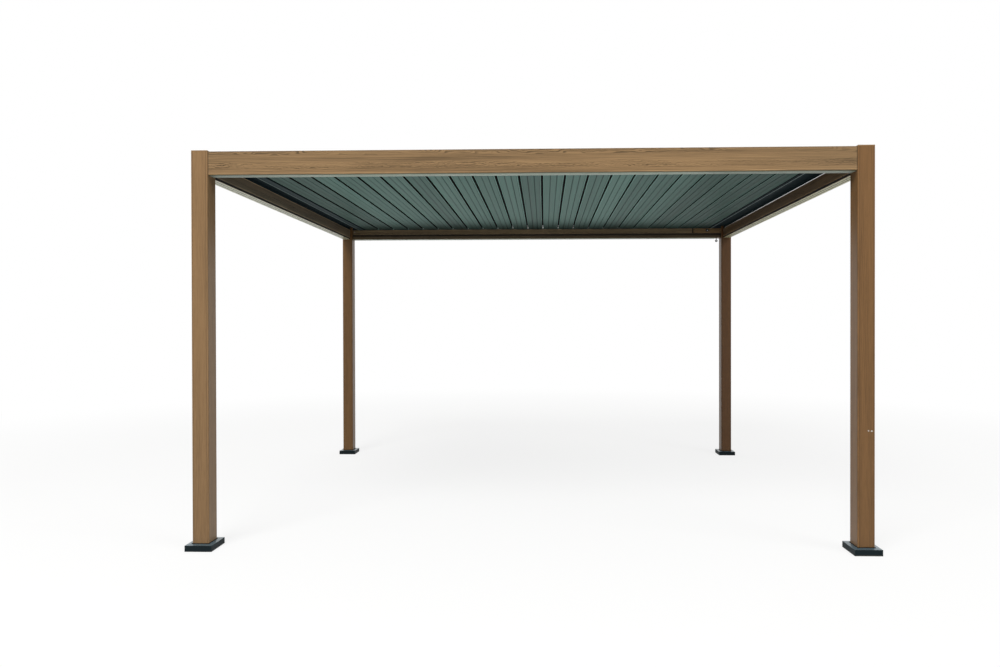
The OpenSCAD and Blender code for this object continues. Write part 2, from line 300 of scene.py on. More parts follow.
class Along(Enum):
    """Direction in which a grain, a bar or a rod runs."""

    X = 0
    Y = 1
    Z = 2

    def order(self, values: Sequence[Any]) -> tuple[Any, Any, Any]:
        """Puts this direction's value first and the next two after it, in turn."""
        first = self.value
        return values[first], values[(first + 1) % 3], values[(first + 2) % 3]

    def point(self, along: float, second: float, third: float) -> Vector:
        """Point from its value in this direction and in the next two, in turn."""
        values = (along, second, third)
        return Vector([values[(axis - self.value) % 3] for axis in range(3)])

    def way(self, sign: float = 1.0) -> Vector:
        """Unit vector in this direction, or against it."""
        return self.point(sign, 0.0, 0.0)


class Side(Enum):
    """Side of the frame: its beam's direction, the one across it and the sign of the way to the middle."""

    FRONT = (Along.X, Along.Y, 1.0)
    BACK = (Along.X, Along.Y, -1.0)
    LEFT = (Along.Y, Along.X, 1.0)
    RIGHT = (Along.Y, Along.X, -1.0)

    def __init__(self, along: Along, across: Along, sign: float) -> None:
        """Keeps the two directions and the sign."""
        self.along = along
        self.across = across
        self.sign = sign

    @property
    def beam(self) -> str:
        """Node of this side's beam."""
        return self.name.lower() + "_beam"

    @property
    def wall(self) -> float:
        """Place of the beam's inner wall, across the beam."""
        low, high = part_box(self.beam)
        return (high if self.sign > 0 else low)[self.across.value]


@dataclass(frozen=True)
class PaintChip:
    """Bare spot in the film on a post's front face."""

    x: float
    z: float
    half_w: float
    half_h: float


@dataclass(frozen=True)
class Scratch:
    """Thin slanting mark in the film on a post's front face."""

    x: float
    z: float
    half_len: float
    slope: float


@dataclass(frozen=True)
class Recess:
    """Groove along a beam's inner wall, darkened with painted shade, with painted highlight lines on the
    wall.
    """

    across: Along
    face: float
    inward: float
    low: float
    high: float
    depth: float = 8 * MM
    # Heights of the painted highlight lines on the wall.
    pale: tuple[Pair, ...] = ()
    # Strength of the painted shade on the wall below the groove.
    foot_shade: float = 0.0
    skin: Pair = (0.3 * MM, 0.6 * MM)
    mouth: float = 1.5 * MM
    soft: float = 1 * MM

    def lines(self, places: Sequence[Wire]) -> Number:
        """1 on the painted highlight lines along the wall and 0 elsewhere.

        Args:
            places: Surface point in the shared frame.

        Returns:
            The share of the painted highlight lines.
        """
        wall = (places[self.across.value] - self.face).size().fall(*self.skin)
        height = places[Along.Z.value]
        total: Number = 0.0
        for low, high in self.pale:
            total = total + wall * height.band(low - self.soft, low, high, high + self.soft)
        return total

    def groove_shade(self, places: Sequence[Wire]) -> Wire:
        """1 inside the groove, less on the wall below it and 0 elsewhere.

        Args:
            places: Surface point in the shared frame.

        Returns:
            The share of dirt.
        """
        deep = (places[self.across.value] - self.face) * self.inward
        inside = deep.band(self.skin[0], self.mouth, self.depth, self.depth + self.soft)
        height = places[Along.Z.value]
        groove = height.band(self.low - self.soft, self.low, self.high, self.high + self.soft)
        foot = deep.size().fall(*self.skin) * height.fall(self.low - self.soft, self.low)
        return inside * groove + foot * self.foot_shade


@dataclass(frozen=True)
class WoodGrain:
    """Satin wood-grain film on an aluminium tube: growth lines, fibres and pores along one direction."""

    name: str
    along: Along
    centre: Triple
    seed: float
    middle: Colour
    figure: float = 1.0
    strokes: float = 3.2
    ring: float = 9 * MM
    edges: Optional[Pair] = None
    half_len: float = 0.0
    half_w: float = 0.0
    recess: Optional[Recess] = None
    front_y: float = 0.0
    chips: tuple[PaintChip, ...] = ()
    scratches: tuple[Scratch, ...] = ()
    bare: Colour = paint(214, 208, 198)
    # Widths of the painted shade at a beam's ends, the painted highlight and shade along a post's corners,
    # the lower edge's painted highlight and the darker top edge.
    joint_shade: Pair = (3 * MM, 6 * MM)
    rim: Pair = (1.5 * MM, 4 * MM)
    stripe: tuple[float, ...] = (2 * MM, 4 * MM, 6 * MM, 8 * MM)
    corner_shade_line: tuple[float, ...] = (6 * MM, 8 * MM, 10 * MM, 13 * MM)
    low_edge: Pair = (3 * MM, 14 * MM)
    top_edge: Pair = (1 * MM, 6 * MM)
    skin: Pair = (0.5 * MM, 1 * MM)
    scratch_w: Pair = (1 * MM, 2.5 * MM)

    def material(self) -> bpy.types.Material:
        """Builds the film.

        Returns:
            The material.
        """
        graph = Graph.of_material(self.name)
        places = graph.places()
        local = [place - middle for place, middle in zip(places, self.centre)]
        length, side, other = self.along.order(local)
        length = length + self.seed * 3.7
        across = side + other
        curly, looped = self._bands(places[Along.Z.value])
        rings = self._rings(graph, length, across, curly, looped)
        fibre = graph.noise(length * self.strokes, across * 170, self.seed, 4, 0.64)
        broad = graph.noise(length * 0.7, across * 26, self.seed + 4.0, 3, 0.6)
        pores = graph.noise(length * 30, across * 750, self.seed, 1).rise(0.56, 0.68)
        value = (broad - 0.5) * 1.05 + (fibre - 0.5) * 1.25 - rings * (0.4 + curly * 0.45 + looped * 0.55)
        value = 0.5 + (value + 0.11) * self.figure - pores * 0.08
        stops = [(0.05, scaled(self.middle, 0.45)), (0.5, self.middle), (0.95, scaled(self.middle, 1.45))]
        colour = graph.read("ValToRGB", {"stops": stops}, {0: value})
        colour = self._worn(graph, places, colour)
        colour = self._painted_corner_and_end_lines(graph, local, colour)
        height = fibre * 0.5 - pores * 0.5 - rings * 0.3
        return graph.surface({
            "Base Color": colour,
            "Roughness": 0.42 - fibre * 0.14,
            "Specular IOR Level": 0.28,
            "Normal": graph.bump(height, 0.4 * MM, 0.3),
        })

    def _bands(self, height: Wire) -> tuple[Number, Number]:
        """Finds the parts of a beam with a livelier grain.

        Args:
            height: Height of the surface point.

        Returns:
            Share of curly grain, in the lower half, and of looped grain, along the top edge.
        """
        if self.edges is None:
            return 0.0, 0.0
        low, high = self.edges
        share = (height - low) / (high - low)
        return share.band(0.15, 0.28, 0.4, 0.58), share.rise(0.74, 0.9)

    def _rings(self, graph: Graph, length: Wire, across: Wire, curly: Number, looped: Number) -> Wire:
        """Dark late-wood lines that sway, curl and close into loops.

        Args:
            graph: Graph of the material.
            length: Place along the grain.
            across: Place across the grain.
            curly: Share of short waves.
            looped: Share of closed loops.

        Returns:
            1 on a line and 0 between lines.
        """
        sway = graph.noise(length * 0.7, across * 5, self.seed, 2) - 0.5
        loop = graph.noise(length * 7, across * 26, self.seed + 9.0, 1) - 0.5
        curl = graph.noise(length * 18, across * 55, self.seed + 2.0, 2) - 0.5
        field = across / self.ring + sway * 7 + loop * looped * 8 + curl * (0.4 + curly * 2.6)
        wave = field.fraction()
        weight = graph.noise(length * 1.3, across * 14, self.seed + 6.0, 1).rise(0.34, 0.62)
        return wave.band(0.4, 0.9, 0.92, 1.0) * (0.25 + weight * 0.75)

    def _painted_corner_and_end_lines(self, graph: Graph, local: Sequence[Wire], colour: Wire) -> Wire:
        """Adds painted highlight and shade lines along a post's corners and painted shade at a beam's ends
        where it meets a post.

        Args:
            graph: Graph of the material.
            local: Surface point from the piece's middle.
            colour: Colour of the film.

        Returns:
            The colour with its lines.
        """
        length, side, other = self.along.order(local)
        if self.half_len > 0:
            # Painted shade over the last millimetres at the beam's ends.
            end = self.half_len - length.size()
            colour = graph.tint(colour, 1 - end.fall(*self.joint_shade) * 0.5)
        if self.half_w > 0:
            corner = self.half_w - side.size().least(other.size())
            # Painted highlight stripe and painted shade line along the post's rounded corners, with painted
            # shade right at the corner.
            lines = corner.band(*self.stripe) * 0.26 - corner.band(*self.corner_shade_line) * 0.3
            colour = graph.tint(colour, 1 + lines - corner.fall(*self.rim) * 0.5)
        return colour

    def _worn(self, graph: Graph, places: Sequence[Wire], colour: Wire) -> Wire:
        """Adds the lower edge's painted highlight, the darker upper edge, the groove's painted shade with the
        wall's painted highlight lines, scratches and chips.

        Args:
            graph: Graph of the material.
            places: Surface point in the shared frame.
            colour: Colour of the film.

        Returns:
            The colour with its wear.
        """
        x, y, z = places
        if self.edges is not None:
            # Painted highlight along the lower edge; darker towards the top edge.
            colour = graph.tint(colour, 1 + (z - self.edges[0]).fall(*self.low_edge) * 0.28)
            colour = graph.tint(colour, 1 - (self.edges[1] - z).fall(*self.top_edge) * 0.4)
        if self.recess is not None:
            # Painted shade in the groove and on the wall below it.
            colour = graph.tint(colour, 1 - self.recess.groove_shade(places) * 0.85)
            # Painted highlight lines along the wall.
            colour = graph.tint(colour, 1 + self.recess.lines(places) * 1.1)
        front = (y - self.front_y).fall(*self.skin)
        for mark in self.scratches:
            run = x - mark.x
            gap = (run * mark.slope - (z - mark.z)).size()
            line = gap.fall(*self.scratch_w) * run.size().fall(mark.half_len * 0.7, mark.half_len)
            colour = graph.mix(line * front * 0.35, colour, scaled(self.middle, 0.4))
        for chip in self.chips:
            reach_x = (x - chip.x) / chip.half_w
            reach_z = (z - chip.z) / chip.half_h
            ragged = (graph.noise(x * 220, z * 220, self.seed, 3) - 0.5) * 1.1
            far = (reach_x * reach_x + reach_z * reach_z).root() + ragged
            colour = graph.mix(far.fall(1.0, 1.5) * front * 0.7, colour, scaled(self.middle, 0.45))
            colour = graph.mix(far.fall(0.8, 1.0) * front, colour, self.bare)
        return colour


@dataclass(frozen=True)
class BladePaint:
    """Satin grey-green paint of one louvre blade: streaks, dark lines of painted shade in the grooves,
    painted highlight beside the seams, painted shade towards the ends, per-blade painted light, rolled edges
    and a raised panel.
    """

    name: str
    index: int
    centre_x: float
    half_w: float
    colour: Colour = paint(83, 111, 104)
    dust_colour: Colour = paint(124, 126, 119)
    half_len: float = 1.412
    # Painted shade on the underside towards the blade ends: strength and reach.
    tip_shade: float = 0.62
    tip_shade_reach: float = 0.5
    # Places of the grooves and the strength of their painted shade.
    lines: tuple[Pair, ...] = ((-21.5 * MM, 0.45), (21.5 * MM, 0.45), (59 * MM, 0.35))
    line_half: float = 2 * MM
    line_soft: float = 4.5 * MM
    roll: float = 10 * MM
    roll_depth: float = 18 * MM
    # Painted highlight beside the seams: strength, widths and softness.
    edge_highlight: float = 1.2
    highlight_left: float = 6 * MM
    highlight_right: float = 11 * MM
    highlight_soft: float = 2 * MM
    panel_edge: float = 21.5 * MM
    flank: float = 5 * MM
    panel_depth: float = 9 * MM

    def material(self) -> bpy.types.Material:
        """Builds the paint.

        Returns:
            The material.
        """
        graph = Graph.of_material(self.name)
        x, y, z = graph.places()
        # Per-blade painted light and shade for each blade's slightly different tilt; the streaks are rain
        # streaks and painted reflection.
        tilt_shade = 0.16 * math.sin(2.4 * self.index + 0.7) + 0.08 * math.sin(5.1 * self.index)
        streak = graph.noise(x * 30, y * 0.3, self.index * 1.7, 3, 0.6)
        cloud = graph.noise(x * 1.5, y * 1.5, z * 1.5, 2)
        grit = graph.noise(x * 420, y * 140, z * 420, 2)
        across = x - self.centre_x
        reach = across.size()
        # Painted highlight bands beside the seams, near both edges of the underside.
        left, right = self.half_w - self.highlight_left, self.half_w - self.highlight_right
        edge = across.rise(right, right + self.highlight_soft) + (0 - across).rise(left, left + self.highlight_soft)
        shade = 1 + tilt_shade + (streak - 0.5) * 0.6 + (cloud - 0.5) * 0.16 + (grit - 0.5) * 0.06
        shade = shade + edge * self.edge_highlight
        upward = graph.upward()
        below = upward.fall(-0.9, -0.2)
        # Painted shade in the grooves on the underside.
        for place, dark in self.lines:
            gap = (across - place).size()
            shade = shade * (1 - gap.fall(self.line_half, self.line_soft) * below * dark)
        # Painted shade on the underside, darker towards the blade ends.
        tip_shade_mask = y.size().rise(self.half_len - self.tip_shade_reach, self.half_len) * below
        shade = shade * (1 - tip_shade_mask * self.tip_shade)
        rolled = reach.rise(self.half_w - self.roll, self.half_w + self.roll) * self.roll_depth
        middle = reach.fall(self.panel_edge - self.flank, self.panel_edge + self.flank)
        height = grit * 0.03 * MM + (rolled + middle * self.panel_depth) * below
        dust = upward.rise(0.2, 0.9) * (0.16 + cloud * 0.3)
        colour = graph.mix(dust, graph.tint(self.colour, shade), self.dust_colour)
        return graph.surface({
            "Base Color": colour,
            "Roughness": 0.5 + (streak - 0.5) * 0.16 + dust * 0.6,
            "Specular IOR Level": 0.04,
            "Normal": graph.bump(height, 1.0, 1.0),
        })


@dataclass(frozen=True)
class PowderCoat:
    """Fine-textured powder coat, which may be dusty near the ground, and on level faces coated and paler by a
    painted reflection.
    """

    name: str
    colour: Colour
    dust_top: float = 0.0
    roughness: float = 0.52
    gloss: float = 0.3
    # On level faces: coat weight, and a paler colour that is a painted reflection of the pale surroundings.
    level_coat: float = 0.0
    level_reflection_colour: Colour = paint(60, 84, 95)
    dust_colour: Colour = paint(120, 116, 106)
    grain: Pair = (650.0, 2.0)
    cloud: Pair = (7.0, 3.0)
    mottle: float = 0.18
    depth: float = 0.2 * MM
    relief: float = 0.35

    def material(self) -> bpy.types.Material:
        """Builds the coat; grain and cloud are each a pattern's cells in a metre and its finer layers.

        Returns:
            The material.
        """
        graph = Graph.of_material(self.name)
        x, y, z = graph.places()
        skin, cloud = (
            graph.noise(x * cells, y * cells, z * cells, layers) for cells, layers in (self.grain, self.cloud)
        )
        colour = graph.tint(self.colour, 0.85 + cloud * 0.3 + (skin - 0.5) * self.mottle)
        if self.dust_top > 0:
            dust = z.fall(0.0, self.dust_top) * cloud.rise(0.35, 0.7) * 0.5
            colour = graph.mix(dust, colour, self.dust_colour)
        sockets = {
            "Base Color": colour,
            "Roughness": self.roughness + (cloud - 0.5) * 0.2,
            "Specular IOR Level": self.gloss,
            "Normal": graph.bump(skin, self.depth, self.relief),
        }
        if self.level_coat > 0:
            level = graph.upward().rise(0.7, 0.95) * self.level_coat
            # Paler colour on level faces: painted reflection; the coat itself reflects for real.
            sockets["Base Color"] = graph.mix(level, colour, self.level_reflection_colour)
            sockets.update({"Coat Weight": level, "Coat Roughness": 0.3, "Coat IOR": 1.8})
        return graph.surface(sockets)


@dataclass(frozen=True)
class Moulding(PowderCoat):
    """Moulded rubber or plastic, or a rough casting, with a grainier skin."""

    gloss: float = 0.35
    grain: Pair = (500.0, 3.0)
    cloud: Pair = (15.0, 2.0)
    mottle: float = 0.2
    depth: float = 0.1 * MM
    relief: float = 0.4


@dataclass(frozen=True)
class ZincSteel:
    """Galvanised steel with its crystal pattern."""

    name: str
    colour: Colour = paint(150, 154, 157)

    def material(self) -> bpy.types.Material:
        """Builds the zinc.

        Returns:
            The material.
        """
        graph = Graph.of_material(self.name)
        x, y, z = graph.places()
        crystal = graph.cells(x * 140 + y * 60, z * 140 + y * 90)
        haze = graph.noise(x * 12, y * 12, z * 12, 3)
        return graph.surface({
            "Base Color": graph.tint(self.colour, 0.72 + crystal * 0.3 + haze * 0.2),
            "Metallic": 0.9,
            "Roughness": 0.34 + crystal * 0.16 + haze * 0.12,
            "Normal": graph.bump(crystal, 0.05 * MM, 0.25),
        })


@dataclass(frozen=True)
class BareMetal:
    """Bright turned or extruded metal with fine lines along one direction."""

    name: str
    colour: Colour
    lines: Triple
    roughness: float = 0.3

    def material(self) -> bpy.types.Material:
        """Builds the metal.

        Returns:
            The material.
        """
        graph = Graph.of_material(self.name)
        x, y, z = graph.places()
        line = graph.noise(x * self.lines[0], y * self.lines[1], z * self.lines[2], 2)
        return graph.surface({
            "Base Color": graph.tint(self.colour, 0.85 + line * 0.3),
            "Metallic": 1.0,
            "Roughness": self.roughness + (line - 0.5) * 0.2,
            "Normal": graph.bump(line, 0.05 * MM, 0.2),
        })


class PartMesh:
    """Gathers the faces of one added piece."""

    def __init__(self) -> None:
        """Starts empty."""
        self.points: list[Vector] = []
        self.faces: list[list[int]] = []

    def bar(self, outline: Sequence[Pair], start: float, end: float, along: Along) -> None:
        """Adds a bar of one section.

        Args:
            outline: Section points in the two directions after along, in turn.
            start: First end.
            end: Last end.
            along: Direction of the bar.
        """
        first = len(self.points)
        count = len(outline)
        for place in (start, end):
            self.points += [along.point(place, second, third) for second, third in outline]
        for i in range(count):
            j = (i + 1) % count
            self.faces.append([first + i, first + j, first + count + j, first + count + i])
        self.faces.append([first + i for i in reversed(range(count))])
        self.faces.append([first + count + i for i in range(count)])

    def block(self, x: Pair, y: Pair, z: Pair) -> None:
        """Adds a flat bar between two values in each direction."""
        outline = [(y[0], z[0]), (y[1], z[0]), (y[1], z[1]), (y[0], z[1])]
        self.bar(outline, *x, Along.X)

    def lathe(self, profile: Sequence[Pair], foot: Vector, up: Vector, sides: int = 20) -> None:
        """Adds a turned shape.

        Args:
            profile: Radius and height of each ring; it closes on itself unless it ends on the axis.
            foot: Point of height 0 on the axis.
            up: Direction of the axis.
            sides: Sides of a ring.
        """
        turn = up.to_track_quat("Z", "Y")
        rings: list[list[int]] = []
        for radius, height in profile:
            spokes = sides if radius > 0 else 1
            ring = []
            for k in range(spokes):
                angle = math.tau * k / sides
                spot = Vector((radius * math.cos(angle), radius * math.sin(angle), height))
                ring.append(len(self.points))
                self.points.append(foot + turn @ spot)
            rings.append(ring)
        pairs = list(zip(rings, rings[1:]))
        if profile[0][0] > 0:
            pairs.append((rings[-1], rings[0]))
        for low, high in pairs:
            self._band(low, high, sides)

    def _band(self, low: Sequence[int], high: Sequence[int], sides: int) -> None:
        """Joins two rings, either of which may be one point.

        Args:
            low: Points of the first ring.
            high: Points of the next ring.
            sides: Sides of a whole ring.
        """
        for k in range(sides):
            n = (k + 1) % sides
            quad = [low[k % len(low)], low[n % len(low)], high[n % len(high)], high[k % len(high)]]
            face = list(dict.fromkeys(quad))
            if len(face) > 2:
                self.faces.append(face)

    def screw(self, foot: Vector, up: Vector, radius: float) -> None:
        """Adds a pan-head screw with a round socket.

        Args:
            foot: Point on the surface below the head.
            up: Direction that the head faces.
            radius: Radius of the head.
        """
        high = radius * 0.55
        profile = [
            (0.0, high * 0.4), (radius * 0.4, high * 0.4), (radius * 0.44, high * 0.96),
            (radius * 0.62, high), (radius * 0.88, high * 0.78), (radius, high * 0.35),
            (radius, 0.0), (0.0, 0.0),
        ]
        self.lathe(profile, foot, up)

    def make(self, name: str, material: bpy.types.Material, body: str, slot: str) -> None:
        """Turns the faces into a piece that rides on a body.

        Args:
            name: Name of the piece.
            material: Its finish.
            body: Body that carries it.
            slot: The record's material slot; not used.
        """
        mesh = bpy.data.meshes.new(name)
        mesh.from_pydata(self.points, [], self.faces)
        work = bmesh.new()
        work.from_mesh(mesh)
        bmesh.ops.recalc_face_normals(work, faces=work.faces)
        work.to_mesh(mesh)
        work.free()
        mesh.polygons.foreach_set("use_smooth", [True] * len(mesh.polygons))
        mesh.set_sharp_from_angle(angle=SHARP_EDGE)
        mesh.materials.append(material)
        piece = bpy.data.objects.new(name, mesh)
        bpy.context.scene.collection.objects.link(piece)
        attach(piece, body)
        LOG.info("made %s: %d faces on %s", name, len(mesh.polygons), body)


def dress(node: bpy.types.Object, material: bpy.types.Material) -> None:
    """Gives a CAD node its finish.

    Args:
        node: The node's object.
        material: The finish.
    """
    for holder in node.material_slots:
        holder.material = material
    LOG.info("dressed %s in %s", node.name, material.name)


def ring(inner: float, outer: float, thick: float) -> list[Pair]:
    """Section of a flat ring with a softened outer edge, for a lathe."""
    soft = thick * 0.25
    return [(inner, 0.0), (outer, 0.0), (outer, thick - soft), (outer - soft, thick), (inner, thick)]


class Kit:
    """Finishes that several sub-assemblies share, each built once."""

    def __init__(self) -> None:
        """Builds the shared finishes."""
        self.slate = PowderCoat("slate_coat", paint(40, 50, 54)).material()
        # Darker copy of the slate coat for the edge strips, which lie in shade: painted shade.
        self.shaded_slate = PowderCoat("edge_coat", paint(30, 44, 48), roughness=0.65, gloss=0.05).material()
        self.zinc = ZincSteel("zinc_steel").material()
        self.screw = BareMetal("screw_steel", paint(176, 178, 180), (900.0, 900.0, 900.0)).material()
        self.bright = BareMetal(
            "bright_aluminium", paint(236, 237, 238), (700.0, 6.0, 700.0), 0.28
        ).material()
        self.rubber = Moulding(
            "black_rubber", paint(9, 10, 10), roughness=0.8, gloss=0.05, grain=(900.0, 3.0)
        ).material()
        self.nylon = Moulding("black_nylon", paint(24, 25, 26), roughness=0.5, gloss=0.2).material()
        # Near-white nylon whose whiteness stands in for light showing through the seam ends: painted light.
        self.pale_nylon = Moulding("pale_nylon", paint(238, 238, 232), roughness=0.5).material()
        self.casting = Moulding(
            "cast_black", paint(33, 33, 34), roughness=0.6, grain=(260.0, 3.0), depth=0.4 * MM
        ).material()
        self.steel = PowderCoat("black_steel_coat", paint(16, 16, 17), roughness=0.5, gloss=0.2).material()


@dataclass
class WoodFrame:
    """Posts, caps, beams and access cover, with underside covers, a bright trim for a painted highlight, and
    screws.
    """

    nodes: Mapping[str, bpy.types.Object]
    kit: Kit
    beam_film: Colour = paint(143, 115, 81)
    # Copies of the wood-grain film, made lighter, darker or greyer for how light falls on each piece: painted
    # light and shade.
    back_shade_film: Colour = paint(138, 118, 91)
    left_wall_shade_film: Colour = paint(135, 119, 99)
    right_wall_shade_film: Colour = paint(120, 97, 72)
    left_lit_film: Colour = paint(144, 113, 78)
    right_shade_film: Colour = paint(127, 93, 57)
    far_shade_film: Colour = paint(111, 77, 46)
    chips: tuple[PaintChip, ...] = (
        PaintChip(1.961, 0.716, 4.5 * MM, 5 * MM),
        PaintChip(1.980, 0.714, 7 * MM, 5 * MM),
    )
    scratches: tuple[Scratch, ...] = (Scratch(1.975, 2.160, 12 * MM, -1.2),)
    post_half: float = 50 * MM
    end_groove: Pair = (29 * MM, 18 * MM)
    side_groove: Pair = (5 * MM, 9 * MM)
    # Gap and height of the painted highlight lines on the side beams' inner walls.
    highlight_gap: float = 1 * MM
    highlight_h: float = 6 * MM
    # Strength of the painted shade on the front and back beams' walls below their grooves.
    foot_shade: float = 0.55
    strip_count: int = 3
    cover_inset: float = 5 * MM
    front_inset: float = 21 * MM
    cover_t: float = 2 * MM
    cover_gap: float = 7 * MM
    backing_t: float = 0.6 * MM
    screw_r: float = 5 * MM
    screw_inset: float = 22 * MM
    screw_drop: float = 22 * MM
    trim_h: float = 4 * MM
    trim_gap: float = 0.3 * MM
    trim_end: float = 84 * MM
    clip_len: float = 28 * MM
    clip_h: float = 13.6 * MM
    access_screw_r: float = 4 * MM
    access_inset: float = 10 * MM
    joint_w: float = 11 * MM
    boss_r: float = 14 * MM
    boss_x: float = 1.76
    boss_z: float = 2.3

    def build(self) -> None:
        """Dresses the wood-grain pieces and adds their fittings."""
        self._dress_posts()
        self._dress_beams()
        self._add_covers()
        self._add_lip_shade_strips()
        self._add_screws()
        self._add_highlight_trim()
        self._add_access_fittings()

    def _centre(self, node: str) -> Triple:
        """Middle of a node's box."""
        low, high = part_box(node)
        return tuple((low + high) / 2)

    def _dress_posts(self) -> None:
        """Gives every post and the caps their film, as lit and shaded copies per post (painted light and
        shade), with the marks on the right front post.
        """
        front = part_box("post_front_right")[0].y
        # Lit and shaded copies of the film per post: painted light and shade.
        films = {"front_left": self.left_lit_film, "back_right": self.far_shade_film}
        for number, side in enumerate(POSTS):
            node = "post_" + side
            marked = side == "front_right"
            wood = WoodGrain(
                "wood_" + side, Along.Z, self._centre(node), 1.3 + 2.1 * number,
                films.get(side, self.right_shade_film), figure=0.45, strokes=9.0, half_w=self.post_half,
                front_y=front, chips=self.chips if marked else (), scratches=self.scratches if marked else (),
            )
            dress(self.nodes[node], wood.material())
        caps = WoodGrain("wood_caps", Along.X, self._centre("post_caps"), 8.4, self.left_lit_film)
        dress(self.nodes["post_caps"], caps.material())

    def _dress_beams(self) -> None:
        """Gives every beam and the access cover the film, as shaded copies on the back and side beams
        (painted shade), with the beams' edges and grooves.
        """
        # Shaded copies of the film on the back and side beams: painted shade.
        films = {Side.FRONT: self.beam_film, Side.BACK: self.back_shade_film, Side.LEFT: self.left_wall_shade_film,
                 Side.RIGHT: self.right_wall_shade_film}
        for number, (side, film) in enumerate(films.items()):
            low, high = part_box(side.beam)
            at_end = side.along is Along.X
            rise, tall = self.end_groove if at_end else self.side_groove
            foot, top = low.z + rise, low.z + rise + tall
            groove = Recess(
                side.across, side.wall, -side.sign, foot, top, pale=self._painted_highlight_lines(side, top),
                foot_shade=self.foot_shade if at_end else 0.0,
            )
            wood = WoodGrain(
                "wood_" + side.beam, side.along, self._centre(side.beam), 11.2 + 3.3 * number, film,
                edges=(low.z, high.z), half_len=(high - low)[side.along.value] / 2, recess=groove,
            )
            dress(self.nodes[side.beam], wood.material())
        cover = WoodGrain("wood_access", Along.X, self._centre("access_cover"), 31.0, self.beam_film)
        dress(self.nodes["access_cover"], cover.material())

    def _painted_highlight_lines(self, side: Side, groove_top: float) -> tuple[Pair, ...]:
        """Painted highlight lines on a side beam's inner wall.

        Args:
            side: Side of the frame; the front and the back have none.
            groove_top: Upper edge of the beam's groove.

        Returns:
            Lowest and highest point of each line.
        """
        if side.along is Along.X:
            return ()
        foot = groove_top + self.highlight_gap
        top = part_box("left_edge_strip")[0].z
        upper = ((top - self.highlight_h, top),) if side is Side.LEFT else ()
        return ((foot, foot + self.highlight_h), *upper)

    def _add_covers(self) -> None:
        """Adds the snap-in covers under the beams, with black strips of painted shade in their gaps, and a
        darker strip of painted shade along the front beam's underside.
        """
        # One pale cover, partly its own colour and partly painted light: made cooler, warmer or paler and
        # glossier for how light falls on each side.
        cool = PowderCoat("end_cover", paint(184, 198, 182), roughness=0.42, gloss=0.5).material()
        warm = PowderCoat("right_cover", paint(222, 219, 178), roughness=0.42, gloss=0.5).material()
        pale = PowderCoat("left_cover", paint(236, 236, 204), roughness=0.34, gloss=0.85).material()
        finishes = {Side.FRONT: cool, Side.BACK: cool, Side.LEFT: pale, Side.RIGHT: warm}
        for side, finish in finishes.items():
            strips = self._cover_strips(side)
            gaps = [(first, last) for (_, first), (last, _) in zip(strips, strips[1:])]
            name = side.name.lower()
            cover = self._laid(side, strips, self.cover_t)
            cover.make(name + "_underside_cover", finish, FIXED_BODY, "wood_finish")
            # Black strips in the gaps between the cover strips: painted shade.
            backing = self._laid(side, gaps, self.backing_t)
            backing.make(name + "_cover_backing", self.kit.rubber, FIXED_BODY, "black_casting")
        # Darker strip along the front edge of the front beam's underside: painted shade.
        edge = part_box(Side.FRONT.beam)[0].y
        margin = (edge + self.cover_inset, edge + self.front_inset)
        coat = PowderCoat("front_margin_coat", paint(112, 116, 96), gloss=0.1).material()
        strip = self._laid(Side.FRONT, [margin], self.backing_t)
        strip.make("front_margin", coat, FIXED_BODY, "wood_finish")

    def _cover_strips(self, side: Side) -> list[Pair]:
        """Strips of an underside cover, with open lines between them.

        Args:
            side: Side of the frame.

        Returns:
            First and last edge of each strip across the beam.
        """
        low, high = (corner[side.across.value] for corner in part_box(side.beam))
        first = low + (self.front_inset if side is Side.FRONT else self.cover_inset)
        whole = high - self.cover_inset - first
        wide = (whole - (self.strip_count - 1) * self.cover_gap) / self.strip_count
        starts = [first + k * (wide + self.cover_gap) for k in range(self.strip_count)]
        return [(start, start + wide) for start in starts]

    def _laid(self, side: Side, strips: Sequence[Pair], thick: float) -> PartMesh:
        """Lays strips along the underside of a beam, up to the crank eye on the back one.

        Args:
            side: Side of the frame.
            strips: First and last edge of each strip across the beam.
            thick: Thickness of the strips.

        Returns:
            The strips as one piece.
        """
        low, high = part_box(side.beam)
        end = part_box("crank_eye")[0].x - self.cover_inset if side is Side.BACK else high.x
        z = (low.z - thick, low.z)
        piece = PartMesh()
        for strip in strips:
            if side.along is Along.X:
                piece.block((low.x, end), strip, z)
            else:
                piece.block(strip, (low.y, high.y), z)
        return piece

    def _add_lip_shade_strips(self) -> None:
        """Adds the black strip on the inner lip below each side beam's groove, a dark sheet of painted shade.
        """
        # Black sheet where the lip lies in shade: painted shade.
        piece = PartMesh()
        for side in (Side.LEFT, Side.RIGHT):
            low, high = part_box(side.beam)
            x = (side.wall, side.wall + side.sign * self.backing_t)
            piece.block(x, (low.y, high.y), (low.z, low.z + self.side_groove[0]))
        piece.make("side_lip_strips", self.kit.rubber, FIXED_BODY, "black_casting")

    def _add_screws(self) -> None:
        """Adds a screw at each end of the beams' inner walls, but none where the access cover lies."""
        piece = PartMesh()
        spot = Vector((0.0, 0.0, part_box(RAILS[1])[0].z - self.screw_drop))
        for side in Side:
            low, high = (corner[side.along.value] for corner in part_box(side.beam))
            spot[side.across.value] = side.wall
            ends = [low + self.screw_inset, high - self.screw_inset]
            for end in ends[:1] if side is Side.BACK else ends:
                spot[side.along.value] = end
                piece.screw(spot, side.across.way(side.sign), self.screw_r)
        piece.make("beam_screws", self.kit.screw, FIXED_BODY, "zinc_steel")

    def _add_highlight_trim(self) -> None:
        """Adds the bright trim along the right beam's inner top edge, standing in for light leaking along it
        (painted highlight), with a clip at its back end.
        """
